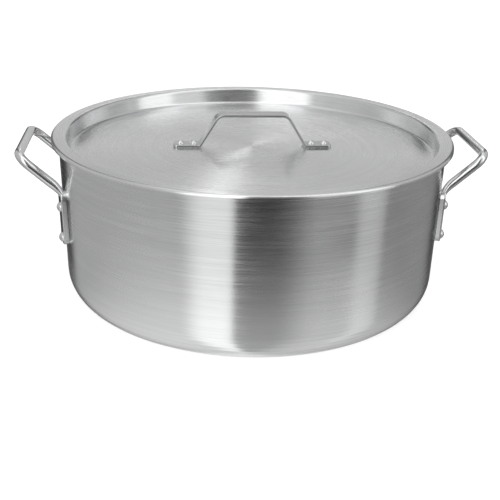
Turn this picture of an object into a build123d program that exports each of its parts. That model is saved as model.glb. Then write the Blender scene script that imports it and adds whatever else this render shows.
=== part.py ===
from build123d import *
import os
from math import asin, atan2, cos, degrees, radians, sin, sqrt

# A low, wide brew kettle of spun aluminium with a recessed lift-off lid.
# Millimetres. The origin is at the centre of the base, on the floor, with +Z up.
# The two side handles lie on +X (right) and -X (left), and -Y is the front.

os.makedirs("parts", exist_ok=True)

# ---- Driving dimensions: kettle body ----
KETTLE_HEIGHT = 174.0       # floor to the flat top of the rim
RIM_RADIUS = 204.0          # outside of the wall at the rim
BASE_RADIUS = 197.5         # outside of the wall, carried down to the floor
WALL = 4.0                  # sheet of the wall, measured level
BASE_THICKNESS = 5.0
BASE_CORNER_RADIUS = 32.0   # outside, from the floor up into the wall
BEAD_HEIGHT = 4.0           # turned bead round the outside of the rim
BEAD_PROUD = 3.0
BEAD_ROUND = 1.2
RIM_ROUND = 1.0             # inside edge of the rim

# ---- Driving dimensions: lid ----
LID_RADIUS = 211.4
LID_SHEET = 2.0
LID_LIP = 4.0               # the turned-down edge, from the top of the flange
RECESS_TOP_RADIUS = 196.2   # where the flange turns down into the recess
PANEL_RADIUS = 192.6        # where the recess wall meets the sunken panel
RECESS_DEPTH = 17.0         # top of the flange down to the panel
LID_EDGE_BEND = 3.0         # bend radii, on the top surface
FLANGE_BEND = 3.5
PANEL_BEND = 3.0

# ---- Driving dimensions: lid handle, a flat strap ----
STRAP_WIDTH = 17.0
STRAP_THICKNESS = 3.0
STRAP_HALF_LENGTH = 84.5
STRAP_FOOT_BEND_X = 55.5    # where each leg leaves its foot
STRAP_BAR_BEND_X = 35.5     # where each leg meets the bar
STRAP_RISE = 33.0           # foot to bar
STRAP_FOOT_BEND = 4.5       # bend radii, on the underside
STRAP_BAR_BEND = 8.5
STRAP_END_ROUND = 4.0
STRAP_EDGE_ROUND = 1.0

# ---- Driving dimensions: side handles, bent rod with flattened ends ----
ROD_RADIUS = 4.75
HANDLE_REACH = 239.6        # X of the grip's centreline
HANDLE_GRIP_Z = 163.9
HANDLE_HALF_SPAN = 55.0     # Y of each arm
HANDLE_ROOT_Z = 127.2       # where an arm's line meets its lug's line
GRIP_BEND = 14.0
LUG_WIDTH = 18.0
LUG_THICKNESS = 5.5
LUG_TOP_Z = 128.0
LUG_BOTTOM_Z = 70.0
LUG_EDGE_ROUND = 1.5
FLATTENING_WIDTH = 12.0     # section halfway through the flattening, in the bend
FLATTENING_THICKNESS = 6.9
FLATTENED_WIDTH = 16.4      # section where it runs out into the lug
FLATTENED_THICKNESS = 4.2
FLATTENED_BEND_OFFSET = 1.8 # how far that bend cuts inside the corner of the two lines
FLATTENED_LENGTH = 16.0     # of arm, from the lug's line out to full round rod
STILL_ROUND_LENGTH = 3.0    # of arm, still round where the flattening begins

# ---- Driving dimensions: rivets ----
HANDLE_RIVET_Z = {"upper": 111.0, "lower": 78.0}
HANDLE_RIVET_SHANK = 3.2
HANDLE_RIVET_HEAD = 5.25
HANDLE_RIVET_HEAD_HEIGHT = 3.6
HANDLE_RIVET_TAIL = 5.0
HANDLE_RIVET_TAIL_HEIGHT = 1.8
LID_RIVET_X = {"inner": 63.0, "outer": 77.0}
LID_RIVET_SHANK = 2.4
LID_RIVET_HEAD = 4.1
LID_RIVET_HEAD_HEIGHT = 3.2
LID_RIVET_TAIL = 3.8
LID_RIVET_TAIL_HEIGHT = 1.5

# ---- Worked out from the driving dimensions ----
WALL_LEAN = atan2(RIM_RADIUS - BASE_RADIUS, KETTLE_HEIGHT)
LUG_AZIMUTH = degrees(asin(HANDLE_HALF_SPAN / RIM_RADIUS))
LID_TOP = KETTLE_HEIGHT + LID_SHEET
PANEL_TOP = LID_TOP - RECESS_DEPTH
BAR_UNDERSIDE = PANEL_TOP + STRAP_RISE


def wall_radius(z):
    """Outside radius of the straight wall at height z."""
    return BASE_RADIUS + (RIM_RADIUS - BASE_RADIUS) * z / KETTLE_HEIGHT


def wall_plane(azimuth, z):
    """A plane on the outside of the wall: its normal points out and its x axis points up the wall."""
    across = radians(azimuth)
    normal = Vector(cos(WALL_LEAN) * cos(across), cos(WALL_LEAN) * sin(across), -sin(WALL_LEAN))
    up_the_wall = Vector(sin(WALL_LEAN) * cos(across), sin(WALL_LEAN) * sin(across), cos(WALL_LEAN))
    radius = wall_radius(z)
    return Plane(origin=(radius * cos(across), radius * sin(across), z), x_dir=up_the_wall, z_dir=normal)


def sagitta(radius, half_chord):
    """How far a curve of this radius falls away over half a chord."""
    return radius - sqrt(radius**2 - half_chord**2)


def rivet(shank_radius, head_radius, head_height, grip, tail_radius, tail_height):
    """A domed rivet on the Z axis: its head stands on z = 0 and its grip hangs below."""
    with BuildPart() as body:
        with BuildSketch(Plane.XZ):
            with BuildLine():
                Polyline(
                    (0, head_height),
                    (0, -grip - tail_height),
                    (tail_radius - tail_height / 2, -grip - tail_height),
                    (tail_radius, -grip - tail_height / 2),
                    (tail_radius, -grip),
                    (shank_radius, -grip),
                    (shank_radius, 0),
                    (head_radius, 0),
                )
                dome_radius = (head_radius**2 + head_height**2) / (2 * head_height)
                RadiusArc((0, head_height), (head_radius, 0), dome_radius)
            make_face()
        revolve(axis=Axis.Z)
    return body


# ---- The solid that the kettle's outside wall encloses, for seating what is riveted to it ----
with BuildPart() as wall_envelope:
    with BuildSketch(Plane.XZ):
        Polygon((0, 0), (BASE_RADIUS, 0), (RIM_RADIUS, KETTLE_HEIGHT), (0, KETTLE_HEIGHT), align=None)
    revolve(axis=Axis.Z)

# ---- Where the rivets go: a plane on the wall for each handle rivet, and X for each lid rivet ----
handle_rivet_planes = {}
for side, side_azimuth, backwards in (("right", 0.0, 1), ("left", 180.0, -1)):
    for end, end_sign in (("front", -backwards), ("back", backwards)):
        for level, level_z in HANDLE_RIVET_Z.items():
            rivet_name = f"{side}_handle_rivet_{end}_{level}"
            handle_rivet_planes[rivet_name] = wall_plane(side_azimuth + end_sign * LUG_AZIMUTH, level_z)
lid_rivet_xs = [side_sign * x for side_sign in (-1, 1) for x in LID_RIVET_X.values()]

# ---- Kettle body: base, wall and beaded rim, one spun sheet ----
inner_base_radius = wall_radius(BASE_THICKNESS) - WALL
bead_bottom = KETTLE_HEIGHT - BEAD_HEIGHT
kettle_outline = [
    ((0, 0), 0),
    ((BASE_RADIUS, 0), BASE_CORNER_RADIUS),
    ((wall_radius(bead_bottom), bead_bottom), BEAD_ROUND),
    ((RIM_RADIUS + BEAD_PROUD, bead_bottom), BEAD_ROUND),
    ((RIM_RADIUS + BEAD_PROUD, KETTLE_HEIGHT), BEAD_ROUND),
    ((RIM_RADIUS - WALL, KETTLE_HEIGHT), RIM_ROUND),
    ((inner_base_radius, BASE_THICKNESS), BASE_CORNER_RADIUS - WALL),
    ((0, BASE_THICKNESS), 0),
]
with BuildPart() as kettle_body:
    with BuildSketch(Plane.XZ):
        with BuildLine():
            FilletPolyline(
                [point for point, _ in kettle_outline],
                radius=[corner for _, corner in kettle_outline],
                close=True,
            )
        make_face()
    revolve(axis=Axis.Z)
    with Locations(*handle_rivet_planes.values()):
        Hole(radius=HANDLE_RIVET_SHANK, depth=2 * WALL)
kettle_body.part.label = "kettle_body"

# ---- Lid: turned-down edge, flat flange, recess wall and sunken panel, one spun sheet ----
with BuildPart() as lid:
    with BuildSketch(Plane.XZ):
        with BuildLine():
            FilletPolyline(
                (0, PANEL_TOP),
                (PANEL_RADIUS, PANEL_TOP),
                (RECESS_TOP_RADIUS, LID_TOP),
                (LID_RADIUS, LID_TOP),
                (LID_RADIUS, LID_TOP - LID_LIP),
                radius=[PANEL_BEND, FLANGE_BEND, LID_EDGE_BEND],
            )
            offset(amount=LID_SHEET, side=Side.RIGHT)
        make_face()
    revolve(axis=Axis.Z)
    with Locations(*[(x, 0, PANEL_TOP) for x in lid_rivet_xs]):
        Hole(radius=LID_RIVET_SHANK, depth=2 * LID_SHEET)
lid.part.label = "lid"

# ---- Lid handle: a flat strap bent into a bar, two legs and two feet ----
with BuildPart() as lid_handle:
    with BuildSketch(Plane.XZ):
        with BuildLine():
            FilletPolyline(
                (-STRAP_HALF_LENGTH, PANEL_TOP),
                (-STRAP_FOOT_BEND_X, PANEL_TOP),
                (-STRAP_BAR_BEND_X, BAR_UNDERSIDE),
                (STRAP_BAR_BEND_X, BAR_UNDERSIDE),
                (STRAP_FOOT_BEND_X, PANEL_TOP),
                (STRAP_HALF_LENGTH, PANEL_TOP),
                radius=[STRAP_FOOT_BEND, STRAP_BAR_BEND, STRAP_BAR_BEND, STRAP_FOOT_BEND],
            )
            offset(amount=STRAP_THICKNESS, side=Side.LEFT)
        make_face()
    extrude(amount=STRAP_WIDTH / 2, both=True)
    upright_edges = lid_handle.edges().filter_by(Axis.Z).group_by(Axis.X)
    fillet(upright_edges[0] + upright_edges[-1], STRAP_END_ROUND)
    outline_edges = lid_handle.edges().filter_by(Axis.Y, reverse=True).filter_by(Axis.Z, reverse=True)
    end_edges = lid_handle.edges().filter_by(Axis.Y).group_by(Axis.X)
    fillet(outline_edges + end_edges[0] + end_edges[-1], STRAP_EDGE_ROUND)
    with Locations(*[(x, 0, PANEL_TOP + STRAP_THICKNESS) for x in lid_rivet_xs]):
        Hole(radius=LID_RIVET_SHANK, depth=2 * STRAP_THICKNESS)
lid_handle.part.label = "lid_handle"


# ---- Side handle: a rod bent into a grip and two arms, each end flattened into a lug on the wall ----
grip_corner = Vector(HANDLE_REACH, HANDLE_HALF_SPAN, HANDLE_GRIP_Z)
root_radius = wall_radius(HANDLE_ROOT_Z) + LUG_THICKNESS / 2
arm_root = Vector(root_radius * cos(radians(LUG_AZIMUTH)), HANDLE_HALF_SPAN, HANDLE_ROOT_Z)
arm_direction = (grip_corner - arm_root).normalized()
arm_start = arm_root + arm_direction * FLATTENED_LENGTH
lug_length = (LUG_TOP_Z - LUG_BOTTOM_Z) / cos(WALL_LEAN)

with BuildPart() as right_side_handle:
    with BuildLine():
        FilletPolyline(
            (arm_start.X, -arm_start.Y, arm_start.Z),
            (grip_corner.X, -grip_corner.Y, grip_corner.Z),
            (grip_corner.X, grip_corner.Y, grip_corner.Z),
            (arm_start.X, arm_start.Y, arm_start.Z),
            radius=GRIP_BEND,
        )
    with BuildSketch(Plane(origin=(arm_start.X, -arm_start.Y, arm_start.Z), z_dir=arm_direction)):
        Circle(ROD_RADIUS)
    sweep()
    for end_sign in (-1, 1):
        lug_plane = wall_plane(end_sign * LUG_AZIMUTH, (LUG_TOP_Z + LUG_BOTTOM_Z) / 2)
        across_lug = lug_plane.y_dir
        down_lug = -lug_plane.x_dir
        flat_start = lug_plane.origin - down_lug * (lug_length - LUG_WIDTH) / 2
        flat_start += lug_plane.z_dir * LUG_THICKNESS / 2
        rod_start = Vector(arm_start.X, end_sign * arm_start.Y, arm_start.Z)
        bend = Vector(arm_root.X, end_sign * arm_root.Y, arm_root.Z)
        bend += (arm_direction + down_lug).normalized() * FLATTENED_BEND_OFFSET
        with BuildSketch(lug_plane):
            SlotOverall(lug_length, LUG_WIDTH)
        extrude(amount=LUG_THICKNESS)
        far_out = lug_plane.origin + lug_plane.z_dir * HANDLE_REACH
        lug_face = right_side_handle.faces(Select.LAST).sort_by_distance(far_out)[0]
        fillet(lug_face.edges(), LUG_EDGE_ROUND)
        for along in (0, STILL_ROUND_LENGTH):
            round_end = rod_start - arm_direction * along
            with BuildSketch(Plane(origin=round_end, x_dir=(0, 1, 0), z_dir=-arm_direction)):
                Circle(ROD_RADIUS)
        with BuildSketch(Plane(origin=bend, x_dir=across_lug, z_dir=down_lug - arm_direction)):
            Ellipse(FLATTENING_WIDTH / 2, FLATTENING_THICKNESS / 2)
        with BuildSketch(Plane(origin=flat_start, x_dir=across_lug, z_dir=down_lug)):
            Ellipse(FLATTENED_WIDTH / 2, FLATTENED_THICKNESS / 2)
        loft()
    add(wall_envelope.part, mode=Mode.SUBTRACT)
    with Locations(*[plane for name, plane in handle_rivet_planes.items() if name.startswith("right")]):
        Hole(radius=HANDLE_RIVET_SHANK, depth=2 * LUG_THICKNESS)
right_side_handle.part.label = "right_side_handle"

with BuildPart() as left_side_handle:
    add(right_side_handle.part, rotation=(0, 0, 180))
left_side_handle.part.label = "left_side_handle"

# ---- Rivets: each is a domed head outside, a shank through both pieces and a flattened tail ----
side_rivet = rivet(
    HANDLE_RIVET_SHANK,
    HANDLE_RIVET_HEAD,
    HANDLE_RIVET_HEAD_HEIGHT,
    LUG_THICKNESS + WALL * cos(WALL_LEAN) + sagitta(BASE_RADIUS - WALL, HANDLE_RIVET_TAIL),
    HANDLE_RIVET_TAIL,
    HANDLE_RIVET_TAIL_HEIGHT,
)
strap_rivet = rivet(
    LID_RIVET_SHANK,
    LID_RIVET_HEAD,
    LID_RIVET_HEAD_HEIGHT,
    STRAP_THICKNESS + LID_SHEET,
    LID_RIVET_TAIL,
    LID_RIVET_TAIL_HEIGHT,
)

rivet_places = {
    name: (side_rivet, Location(plane.offset(LUG_THICKNESS))) for name, plane in handle_rivet_planes.items()
}
for side, side_sign in (("left", -1), ("right", 1)):
    for place, x in LID_RIVET_X.items():
        head_seat = Location((side_sign * x, 0, PANEL_TOP + STRAP_THICKNESS))
        rivet_places[f"lid_rivet_{side}_{place}"] = (strap_rivet, head_seat)

for name, (pattern, place) in rivet_places.items():
    with BuildPart() as placed_rivet:
        with Locations(place):
            add(pattern.part)
    placed_rivet.part.label = name
    export_step(placed_rivet.part, f"parts/{name}.step")

for piece in (kettle_body, lid, lid_handle, left_side_handle, right_side_handle):
    export_step(piece.part, f"parts/{piece.part.label}.step")
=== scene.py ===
"""A lidded brew kettle in brushed aluminium: its materials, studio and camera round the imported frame.

Lengths are in metres, angles in degrees, and radiances are linear.
"""
import math

import bmesh
import bpy
from mathutils import Matrix, Vector


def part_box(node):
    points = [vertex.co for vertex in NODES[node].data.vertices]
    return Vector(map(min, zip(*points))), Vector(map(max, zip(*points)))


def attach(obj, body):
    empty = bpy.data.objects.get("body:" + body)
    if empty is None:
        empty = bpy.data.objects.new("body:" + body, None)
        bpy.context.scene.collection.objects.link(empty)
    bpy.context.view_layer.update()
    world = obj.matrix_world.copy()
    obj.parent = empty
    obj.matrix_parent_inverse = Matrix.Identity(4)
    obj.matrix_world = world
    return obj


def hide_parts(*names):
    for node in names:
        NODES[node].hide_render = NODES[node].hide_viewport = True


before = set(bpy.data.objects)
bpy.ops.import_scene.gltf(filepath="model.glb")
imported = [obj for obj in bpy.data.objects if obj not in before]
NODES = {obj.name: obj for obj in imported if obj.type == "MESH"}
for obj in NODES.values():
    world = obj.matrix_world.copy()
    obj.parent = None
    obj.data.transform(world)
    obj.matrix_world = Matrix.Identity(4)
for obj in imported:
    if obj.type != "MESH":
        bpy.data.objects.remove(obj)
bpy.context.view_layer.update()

# ---------------------------------------------------------------- driving values
CAMERA_AZIMUTH = -5.336
CAMERA_ELEVATION = 15.433
CAMERA_DISTANCE = 1.024
CAMERA_PAN = -0.069
CAMERA_TILT = -3.559
CAMERA_ROLL = 1.527
CAMERA_LENS_MM = 68.99
CAMERA_SENSOR_MM = 36.0
CAMERA_SHIFT_Y = -0.12

STUDIO_SIDES = 96
FLOOR_RADIUS = 9.0
FLOOR_NEAR_RADIUS = 0.5
FLOOR_POINT_RADIUS = 0.0001  # a ring too small to see, in the middle of the floor
BACKDROP_HEIGHT = 6.0
PAPER = (0.9, 0.9, 0.9)
PAPER_GLOW = 0.62
BACKCLOTH = (0.0, 0.0, 0.0)
BACKCLOTH_GLOW = 1.0
PALE_ROUGHNESS = 0.9
PALE_CLOUD_SCALE = 3.0
PALE_CLOUD_LIMITS = (0.2, 0.8)
PALE_CLOUD_TONE = (0.97, 1.0)

BOUNCE_RADIUS = 0.47         # where the card's light has faded out
BOUNCE_FADE_RADIUS = 0.22    # where it begins to fade
BOUNCE_INNER_RADIUS = 0.02
BOUNCE_HEIGHT = 0.0005
BOUNCE_RADIANCE = 0.35
BOUNCE_BEHIND = 0.1          # share of the light that is left behind the kettle
BOUNCE_SPREAD = (0.2, 1.0)   # cosines from straight ahead between which that share grows to all

# The two spun sheets, as the CAD has them.
WALL = 0.004
BASE_RADIUS = 0.1975
BASE_THICKNESS = 0.005
BASE_CORNER = 0.032
BEAD_HEIGHT = 0.004
BEAD_PROUD = 0.003
BEAD_ROUND = 0.0012
RIM_ROUND = 0.001
LID_SHEET = 0.002
LID_LIP = 0.004
RECESS_TOP_RADIUS = 0.1962
PANEL_RADIUS = 0.1926
RECESS_DEPTH = 0.017
PANEL_BEND = 0.003
FLANGE_BEND = 0.0035
LID_EDGE_BEND = 0.003

# How finely they are meshed.
ARC_STEPS = 10
SIDES = 300
SUPPORT_GAP = 0.0004
LONGEST_RUN = 0.012
SHARP_ANGLE = 50.0

scene = bpy.context.scene


# ---------------------------------------------------------------- node graphs
class Graph:
    """Short ways to add and join shader nodes in one node tree."""

    def __init__(self, tree):
        self.tree = tree
        tree.nodes.clear()

    def put(self, socket, value):
        """Links value to socket if it is a socket, and otherwise sets it."""
        if isinstance(value, bpy.types.NodeSocket):
            self.tree.links.new(value, socket)
        else:
            socket.default_value = value

    def node(self, kind, settings=None, **inputs):
        made = self.tree.nodes.new(kind)
        for name, value in (settings or {}).items():
            setattr(made, name, value)
        for name, value in inputs.items():
            self.put(made.inputs[name.replace("_", " ")], value)
        return made

    def math(self, operation, *values):
        made = self.node("ShaderNodeMath", {"operation": operation})
        for place, value in enumerate(values):
            self.put(made.inputs[place], value)
        return made.outputs["Value"]

    def ramp(self, value, low, high, start=0.0, end=1.0):
        """start where value is low, end where it is high, with a smooth step between."""
        made = self.node("ShaderNodeMapRange", {"interpolation_type": "SMOOTHSTEP"})
        for place, number in enumerate((value, low, high, start, end)):
            self.put(made.inputs[place], number)
        return made.outputs["Result"]

    def vector(self, x=0.0, y=0.0, z=0.0):
        return self.node("ShaderNodeCombineXYZ", X=x, Y=y, Z=z).outputs["Vector"]

    def noise(self, vector, scale, detail=2.0, w=None, roughness=0.5):
        made = self.node(
            "ShaderNodeTexNoise",
            {"noise_dimensions": "3D" if w is None else "4D"},
            Vector=vector, Scale=scale, Detail=detail, Roughness=roughness,
        )
        if w is not None:
            self.put(made.inputs["W"], w)
        return made.outputs["Fac"]


def emission_world(build):
    """A world whose radiance is the socket that build(graph) returns."""
    world = bpy.data.worlds.new("studio_world")
    world.use_nodes = True
    graph = Graph(world.node_tree)
    background = graph.node("ShaderNodeBackground", Strength=1.0)
    graph.put(background.inputs["Color"], build(graph))
    output = graph.node("ShaderNodeOutputWorld")
    graph.tree.links.new(background.outputs["Background"], output.inputs["Surface"])
    scene.world = world


# ---------------------------------------------------------------- studio light
# Each softbox: the azimuths from the camera that it spans, the width of its soft edges at the first
# and at the second, and its radiance. The low tier is what a wall sees, the high tier what a lid sees.
LOW_TIER = {
    "back": (160.0, 200.0, 8.0, 8.0, 0.50),
    "left": (-138.0, -44.0, 10.0, 14.0, 0.34),
    "key": (-39.0, -9.4, 26.0, 3.0, 0.72),
    "right_fill": (28.0, 62.0, 26.0, 6.0, 0.20),
    "right_strip": (64.0, 85.0, 8.0, 4.0, 0.40),
    "right": (87.0, 140.0, 4.0, 10.0, 0.20),
}
HIGH_TIER = {
    "back": (160.0, 200.0, 8.0, 8.0, 0.42),
    "left": (-140.0, -50.0, 10.0, 10.0, 0.38),
    "key_shoulder": (-50.0, -40.0, 8.0, 4.0, 0.45),
    "key": (-39.0, -3.4, 6.0, 4.0, 1.25),
    "right_fill": (33.0, 57.0, 8.0, 3.0, 0.60),
    "right_strip": (57.0, 83.0, 3.0, 6.0, 1.05),
    "right": (86.0, 140.0, 6.0, 10.0, 0.38),
}
LOW_GAP_RADIANCE = 0.02
HIGH_GAP_RADIANCE = 0.12
TIER_ELEVATION = (-12.0, 6.0)  # the low tier gives way to the high one between these
OVERHEAD_RADIANCE = 0.4
OVERHEAD_ELEVATION = (46.0, 74.0)  # the overhead light grows to its full radiance between these
# A tall narrow light behind draws the light streak across the spun lid. Its span is given like a
# softbox's. Its elevations are where it starts, is full, starts to fall, and ends.
STREAK_LIGHT = (-178.0, -175.5, 2.0, 2.0, 2.0)
STREAK_ELEVATION = (22.0, 26.0, 38.0, 44.0)


def azimuth_window(graph, azimuth, first, second, first_edge, second_edge):
    """1 where azimuth is between first and second, and 0 outside, with soft edges."""
    middle = math.radians(CAMERA_AZIMUTH + (first + second) / 2)
    half = math.radians(second - first) / 2
    offset = graph.math("WRAP", graph.math("SUBTRACT", azimuth, middle), math.pi, -math.pi)
    soft_first = math.radians(first_edge) / 2
    soft_second = math.radians(second_edge) / 2
    rise = graph.ramp(offset, -half - soft_first, -half + soft_first)
    fall = graph.ramp(offset, half + soft_second, half - soft_second)
    return graph.math("MULTIPLY", rise, fall)


def tier_radiance(graph, azimuth, softboxes, gap):
    """The sum of a tier's softboxes at azimuth, over the radiance of the gaps between them."""
    total = gap
    for first, second, first_edge, second_edge, radiance in softboxes.values():
        lit = azimuth_window(graph, azimuth, first, second, first_edge, second_edge)
        total = graph.math("MULTIPLY_ADD", lit, radiance, total)
    return total


def studio_radiance(graph):
    """Two tiers of softboxes round the horizon, one overhead, and the streak light."""
    place = graph.node("ShaderNodeTexCoord").outputs["Generated"]
    split = graph.node("ShaderNodeSeparateXYZ", Vector=place).outputs
    azimuth = graph.math("ARCTAN2", split["X"], graph.math("MULTIPLY", split["Y"], -1.0))
    elevation = graph.math("MULTIPLY", graph.math("ARCSINE", split["Z"]), math.degrees(1.0))
    low = tier_radiance(graph, azimuth, LOW_TIER, LOW_GAP_RADIANCE)
    high = tier_radiance(graph, azimuth, HIGH_TIER, HIGH_GAP_RADIANCE)
    total = graph.ramp(elevation, *TIER_ELEVATION, low, high)
    overhead = graph.ramp(elevation, *OVERHEAD_ELEVATION, 0.0, OVERHEAD_RADIANCE)
    *streak_span, streak_radiance = STREAK_LIGHT
    start, full, falling, end = STREAK_ELEVATION
    streak = graph.math("MULTIPLY", azimuth_window(graph, azimuth, *streak_span), streak_radiance)
    streak = graph.math("MULTIPLY", streak, graph.ramp(elevation, start, full))
    streak = graph.math("MULTIPLY", streak, graph.ramp(elevation, end, falling))
    return graph.math("ADD", graph.math("ADD", total, overhead), streak)


emission_world(studio_radiance)


# ---------------------------------------------------------------- floor and backdrop
def ring_strip(name, rings):
    """A surface of revolution about Z through the (radius, height) pairs in rings."""
    vertices = []
    for radius, height in rings:
        for side in range(STUDIO_SIDES):
            turn = 2 * math.pi * side / STUDIO_SIDES
            vertices.append((radius * math.cos(turn), radius * math.sin(turn), height))
    faces = []
    for ring in range(len(rings) - 1):
        low = ring * STUDIO_SIDES
        high = low + STUDIO_SIDES
        for side in range(STUDIO_SIDES):
            after = (side + 1) % STUDIO_SIDES
            faces.append((low + side, low + after, high + after, high + side))
    mesh = bpy.data.meshes.new(name)
    mesh.from_pydata(vertices, [], faces)
    made = bpy.data.objects.new(name, mesh)
    scene.collection.objects.link(made)
    return made


def pale_material(name, colour, glow):
    """A dull material that also glows white, with faint soft clouds in its colour."""
    material = bpy.data.materials.new(name)
    material.use_nodes = True
    graph = Graph(material.node_tree)
    place = graph.node("ShaderNodeTexCoord").outputs["Object"]
    tone = graph.ramp(graph.noise(place, PALE_CLOUD_SCALE), *PALE_CLOUD_LIMITS, *PALE_CLOUD_TONE)
    shade = graph.node("ShaderNodeVectorMath", {"operation": "SCALE"})
    shade.inputs[0].default_value = colour
    graph.put(shade.inputs["Scale"], tone)
    surface = graph.node(
        "ShaderNodeBsdfPrincipled",
        Base_Color=shade.outputs["Vector"], Roughness=PALE_ROUGHNESS, Specular_IOR_Level=0.0,
    )
    graph.put(surface.inputs["Emission Color"], (1.0, 1.0, 1.0, 1.0))
    surface.inputs["Emission Strength"].default_value = glow
    output = graph.node("ShaderNodeOutputMaterial")
    graph.tree.links.new(surface.outputs["BSDF"], output.inputs["Surface"])
    return material


floor = ring_strip(
    "studio_floor",
    [(FLOOR_POINT_RADIUS, 0.0), (FLOOR_NEAR_RADIUS, 0.0), (FLOOR_RADIUS, 0.0)],
)
floor.data.materials.append(pale_material("studio_paper", PAPER, PAPER_GLOW))
floor.visible_glossy = False
backdrop = ring_strip("studio_backdrop", [(FLOOR_RADIUS, 0.0), (FLOOR_RADIUS, BACKDROP_HEIGHT)])
backdrop.data.materials.append(pale_material("studio_backcloth", BACKCLOTH, BACKCLOTH_GLOW))
backdrop.visible_glossy = False
backdrop.visible_diffuse = False
backdrop.visible_shadow = False


def bounce_card():
    """A glowing sheet on the floor that only the metal sees, brightest just in front of the kettle.

    It adds its light to what is beyond it and hides nothing.
    """
    card = ring_strip(
        "studio_bounce_card",
        [(BOUNCE_INNER_RADIUS, BOUNCE_HEIGHT), (BOUNCE_RADIUS, BOUNCE_HEIGHT)],
    )
    material = bpy.data.materials.new("studio_bounce")
    material.use_nodes = True
    graph = Graph(material.node_tree)
    place = graph.node("ShaderNodeTexCoord").outputs["Object"]
    reach = graph.node("ShaderNodeVectorMath", {"operation": "LENGTH"})
    graph.put(reach.inputs[0], place)
    glow = graph.ramp(reach.outputs["Value"], BOUNCE_RADIUS, BOUNCE_FADE_RADIUS, 0.0, BOUNCE_RADIANCE)
    way = graph.node("ShaderNodeVectorMath", {"operation": "NORMALIZE"})
    graph.put(way.inputs[0], place)
    facing = graph.node("ShaderNodeVectorMath", {"operation": "DOT_PRODUCT"})
    graph.put(facing.inputs[0], way.outputs["Vector"])
    front = math.radians(CAMERA_AZIMUTH)
    facing.inputs[1].default_value = (math.sin(front), -math.cos(front), 0.0)
    aimed = graph.ramp(facing.outputs["Value"], *BOUNCE_SPREAD, BOUNCE_BEHIND, 1.0)
    glow = graph.math("MULTIPLY", glow, aimed)
    light = graph.node("ShaderNodeEmission", Strength=glow)
    clear = graph.node("ShaderNodeBsdfTransparent")
    both = graph.node("ShaderNodeAddShader")
    graph.tree.links.new(light.outputs["Emission"], both.inputs[0])
    graph.tree.links.new(clear.outputs["BSDF"], both.inputs[1])
    output = graph.node("ShaderNodeOutputMaterial")
    graph.tree.links.new(both.outputs["Shader"], output.inputs["Surface"])
    card.data.materials.append(material)
    card.visible_camera = False
    card.visible_diffuse = False
    card.visible_shadow = False


bounce_card()


# ---------------------------------------------------------------- metal
# Noise lies mostly between these limits, so the ramps below run between them.
LINE_LIMITS = (0.25, 0.75)
CLOUD_LIMITS = (0.3, 0.7)
# How far each noise strays the tone of the colour from 1.
LINE_TONE = (-0.06, 0.04)
CLOUD_TONE = (-0.02, 0.02)
# Features of the line noise in a turn round Z, and how much coarser the broad lines are.
FINE_ROUND = 3.0
BROAD_ROUND = 1.3
BROAD_COARSER = 9
CLOUD_SCALE = 11.0
# A quarter turn lays the stretch of a highlight across the lines.
HIGHLIGHT_TURN = 0.25


def metal(name, colour, roughness, anisotropy, lines, line_depth, sheen_span):
    """Worked aluminium whose fine lines run round the Z axis.

    lines is the number of lines in a metre across them, line_depth their bump in metres, and
    sheen_span how far the roughness strays, both from line to line and over broad soft patches.
    """
    material = bpy.data.materials.new(name)
    material.use_nodes = True
    graph = Graph(material.node_tree)
    place = graph.node("ShaderNodeTexCoord").outputs["Object"]
    split = graph.node("ShaderNodeSeparateXYZ", Vector=place).outputs
    flat = graph.vector(split["X"], split["Y"])
    radius = graph.node("ShaderNodeVectorMath", {"operation": "LENGTH"})
    graph.put(radius.inputs[0], flat)
    radius = radius.outputs["Value"]
    round_way = graph.node("ShaderNodeVectorMath", {"operation": "NORMALIZE"})
    graph.put(round_way.inputs[0], flat)
    turn = graph.node("ShaderNodeSeparateXYZ", Vector=round_way.outputs["Vector"]).outputs

    def around(along, across, detail, roughness_between):
        """Noise with `along` features in a turn and `across` features in a metre."""
        spot = graph.vector(
            graph.math("MULTIPLY", turn["X"], along),
            graph.math("MULTIPLY", turn["Y"], along),
            graph.math("MULTIPLY", split["Z"], across),
        )
        depth = graph.math("MULTIPLY", radius, across)
        return graph.noise(spot, 1.0, detail, depth, roughness_between)

    fine = around(FINE_ROUND, lines, detail=2.0, roughness_between=0.6)
    broad = around(BROAD_ROUND, lines / BROAD_COARSER, detail=2.0, roughness_between=0.5)
    cloud = graph.noise(place, CLOUD_SCALE, detail=3.0)
    line_tone = graph.ramp(fine, *LINE_LIMITS, *LINE_TONE)
    tone = graph.math("ADD", line_tone, graph.ramp(cloud, *CLOUD_LIMITS, *CLOUD_TONE))
    tone = graph.math("ADD", tone, graph.ramp(broad, *CLOUD_LIMITS, *CLOUD_TONE))
    tone = graph.math("ADD", tone, 1.0)
    shade = graph.node("ShaderNodeVectorMath", {"operation": "SCALE"})
    shade.inputs[0].default_value = colour
    graph.put(shade.inputs["Scale"], tone)
    rough = graph.math(
        "ADD",
        graph.ramp(fine, *LINE_LIMITS, roughness - sheen_span, roughness + sheen_span),
        graph.ramp(cloud, *CLOUD_LIMITS, -sheen_span, sheen_span),
    )
    bump = graph.node("ShaderNodeBump", Strength=1.0, Distance=line_depth)
    graph.put(bump.inputs["Height"], fine)
    tangent = graph.node("ShaderNodeTangent", {"direction_type": "RADIAL", "axis": "Z"})
    surface = graph.node(
        "ShaderNodeBsdfPrincipled",
        Base_Color=shade.outputs["Vector"], Metallic=1.0, Roughness=rough,
    )
    surface.inputs["Anisotropic"].default_value = anisotropy
    surface.inputs["Anisotropic Rotation"].default_value = HIGHLIGHT_TURN
    graph.put(surface.inputs["Normal"], bump.outputs["Normal"])
    graph.put(surface.inputs["Tangent"], tangent.outputs["Tangent"])
    output = graph.node("ShaderNodeOutputMaterial")
    graph.tree.links.new(surface.outputs["BSDF"], output.inputs["Surface"])
    return material


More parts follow.
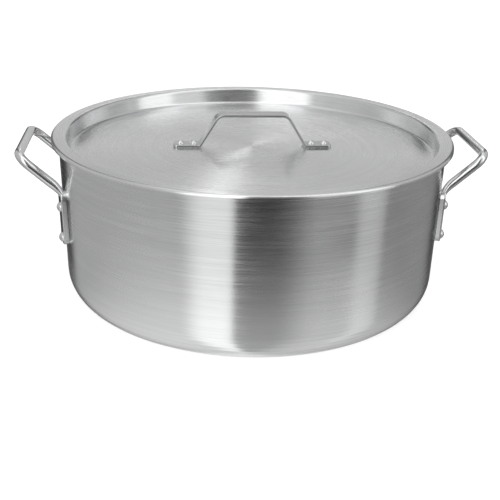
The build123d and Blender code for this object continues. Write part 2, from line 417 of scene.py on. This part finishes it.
def dress(material, *pieces):
    """Gives these objects this material alone."""
    for piece in pieces:
        piece.data.materials.clear()
        piece.data.materials.append(material)


# ---------------------------------------------------------------- spun sheets
def rounded(corners):
    """The outline through (radius, height, fillet) corners, each turned on an arc of its fillet."""
    outline = []
    for place, (radius, height, fillet) in enumerate(corners):
        corner = Vector((radius, height))
        if fillet == 0.0:
            outline.append(corner)
            continue
        back = (Vector(corners[place - 1][:2]) - corner).normalized()
        onward = (Vector(corners[place + 1][:2]) - corner).normalized()
        half_angle = back.angle(onward) / 2
        centre = corner + (back + onward).normalized() * fillet / math.sin(half_angle)
        start = corner + back * fillet / math.tan(half_angle) - centre
        end = corner + onward * fillet / math.tan(half_angle) - centre
        sweep = math.atan2(start.x * end.y - start.y * end.x, start.dot(end))
        for step in range(ARC_STEPS + 1):
            turned = Matrix.Rotation(sweep * step / ARC_STEPS, 2) @ start
            outline.append(centre + turned)
    return outline


def supported(outline):
    """The outline with a point just inside each end of every straight run, and more along a long one."""
    points = [outline[0]]
    for start, end in zip(outline, outline[1:]):
        run = end - start
        if run.length > 4 * SUPPORT_GAP:
            inset = run.normalized() * SUPPORT_GAP
            pieces = max(1, math.ceil(run.length / LONGEST_RUN))
            first = start + inset
            last = end - inset
            points += [first.lerp(last, piece / pieces) for piece in range(pieces + 1)]
        points.append(end)
    return points


def lathe(name, corners, body, replaced):
    """Spins a closed outline into a piece that stands for a CAD node.

    The outline starts and ends on the Z axis.
    """
    outline = supported(rounded(corners))
    rings = outline[1:-1]
    vertices = [(0.0, 0.0, outline[0].y)]
    for radius, height in rings:
        for side in range(SIDES):
            turn = 2 * math.pi * side / SIDES
            vertices.append((radius * math.cos(turn), radius * math.sin(turn), height))
    vertices.append((0.0, 0.0, outline[-1].y))
    last = len(vertices) - 1
    faces = []
    for side in range(SIDES):
        after = (side + 1) % SIDES
        faces.append((0, 1 + after, 1 + side))
        faces.append((last, last - SIDES + side, last - SIDES + after))
        for ring in range(len(rings) - 1):
            near = 1 + ring * SIDES
            far = near + SIDES
            faces.append((near + side, near + after, far + after, far + side))
    mesh = bpy.data.meshes.new(name)
    mesh.from_pydata(vertices, [], faces)
    shape = bmesh.new()
    shape.from_mesh(mesh)
    bmesh.ops.recalc_face_normals(shape, faces=shape.faces)
    shape.to_mesh(mesh)
    shape.free()
    mesh.shade_smooth()
    mesh.set_sharp_from_angle(angle=math.radians(SHARP_ANGLE))
    piece = bpy.data.objects.new(name, mesh)
    scene.collection.objects.link(piece)
    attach(piece, body)
    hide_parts(replaced)
    return piece


def kettle_corners():
    """Floor, wall and beaded rim outside, then the wall and floor inside."""
    low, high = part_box("kettle_body")
    height = high.z - low.z
    rim_radius = high.x - BEAD_PROUD
    bead_bottom = height - BEAD_HEIGHT
    lean = (rim_radius - BASE_RADIUS) / height
    return [
        (0.0, 0.0, 0.0),
        (BASE_RADIUS, 0.0, BASE_CORNER),
        (BASE_RADIUS + lean * bead_bottom, bead_bottom, BEAD_ROUND),
        (high.x, bead_bottom, BEAD_ROUND),
        (high.x, height, BEAD_ROUND),
        (rim_radius - WALL, height, RIM_ROUND),
        (BASE_RADIUS + lean * BASE_THICKNESS - WALL, BASE_THICKNESS, BASE_CORNER - WALL),
        (0.0, BASE_THICKNESS, 0.0),
    ]


def beside(path, gap):
    """The corners of a path moved to its right by gap, with their fillets grown or shrunk to suit."""
    moved = []
    for place, (radius, height, fillet) in enumerate(path):
        corner = Vector((radius, height))
        ways = []
        if place > 0:
            ways.append((corner - Vector(path[place - 1][:2])).normalized())
        if place < len(path) - 1:
            ways.append((Vector(path[place + 1][:2]) - corner).normalized())
        rights = [Vector((way.y, -way.x)) for way in ways]
        middle = (rights[0] + rights[-1]).normalized()
        shift = middle * gap / middle.dot(rights[0])
        turns_right = ways[0].x * ways[-1].y - ways[0].y * ways[-1].x < 0
        if fillet > 0.0:
            fillet += -gap if turns_right else gap
        moved.append((corner.x + shift.x, corner.y + shift.y, fillet))
    return moved


def lid_corners():
    """The upper face from the middle out to the turned-down lip, then the lower face back."""
    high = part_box("lid")[1]
    edge_radius = high.x
    top = high.z
    upper = [
        (0.0, top - RECESS_DEPTH, 0.0),
        (PANEL_RADIUS, top - RECESS_DEPTH, PANEL_BEND),
        (RECESS_TOP_RADIUS, top, FLANGE_BEND),
        (edge_radius, top, LID_EDGE_BEND),
        (edge_radius, top - LID_LIP, 0.0),
    ]
    return upper + beside(upper, LID_SHEET)[::-1]


kettle_shell = lathe("kettle_shell", kettle_corners(), "kettle", "kettle_body")
lid_sheet = lathe("lid_sheet", lid_corners(), "lid", "lid")

# ---------------------------------------------------------------- finishes
ALUMINIUM = (0.90, 0.905, 0.91)
STRAP_METAL = (0.66, 0.665, 0.67)
SPUN = {"anisotropy": 0.9, "lines": 1600.0, "sheen_span": 0.05}
POLISHED = {"anisotropy": 0.0, "lines": 900.0, "line_depth": 0.00001, "sheen_span": 0.04}

side_handles = [NODES["left_side_handle"], NODES["right_side_handle"]]
rivets = [node for name, node in NODES.items() if "rivet" in name]
dress(metal("brushed_kettle", ALUMINIUM, roughness=0.22, line_depth=0.00003, **SPUN), kettle_shell)
dress(metal("spun_lid", ALUMINIUM, roughness=0.25, line_depth=0.00002, **SPUN), lid_sheet)
dress(metal("polished_rod", ALUMINIUM, roughness=0.18, **POLISHED), *side_handles)
dress(metal("polished_strap", STRAP_METAL, roughness=0.15, **POLISHED), NODES["lid_handle"])
dress(metal("bright_rivet", ALUMINIUM, roughness=0.25, **POLISHED), *rivets)


# ---------------------------------------------------------------- camera
def place_camera():
    """Stands the camera off the middle of the lid's rim, where it has the photographer's view."""
    azimuth = math.radians(CAMERA_AZIMUTH)
    elevation = math.radians(CAMERA_ELEVATION)
    pan = math.radians(CAMERA_PAN)
    tilt = math.radians(CAMERA_TILT)
    roll = math.radians(CAMERA_ROLL)
    back = Vector((
        math.sin(azimuth) * math.cos(elevation),
        -math.cos(azimuth) * math.cos(elevation),
        math.sin(elevation),
    ))
    rim_middle = Vector((0.0, 0.0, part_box("lid")[1].z))
    level_right = Vector((math.cos(azimuth), math.sin(azimuth), 0.0))
    upright = level_right.cross(-back)
    aim = -back * math.cos(pan) + level_right * math.sin(pan)
    side = level_right * math.cos(pan) + back * math.sin(pan)
    forward = aim * math.cos(tilt) + upright * math.sin(tilt)
    top = upright * math.cos(tilt) - aim * math.sin(tilt)
    right = side * math.cos(roll) + top * math.sin(roll)
    up = top * math.cos(roll) - side * math.sin(roll)
    data = bpy.data.cameras.new("studio_camera")
    data.sensor_width = CAMERA_SENSOR_MM
    data.lens = CAMERA_LENS_MM
    data.shift_y = CAMERA_SHIFT_Y
    data.clip_end = 3 * FLOOR_RADIUS
    camera = bpy.data.objects.new("studio_camera", data)
    scene.collection.objects.link(camera)
    turned = Matrix((right, up, -forward)).transposed().to_4x4()
    camera.matrix_world = Matrix.Translation(rim_middle + back * CAMERA_DISTANCE) @ turned
    scene.camera = camera


place_camera()
scene.view_settings.view_transform = "Standard"
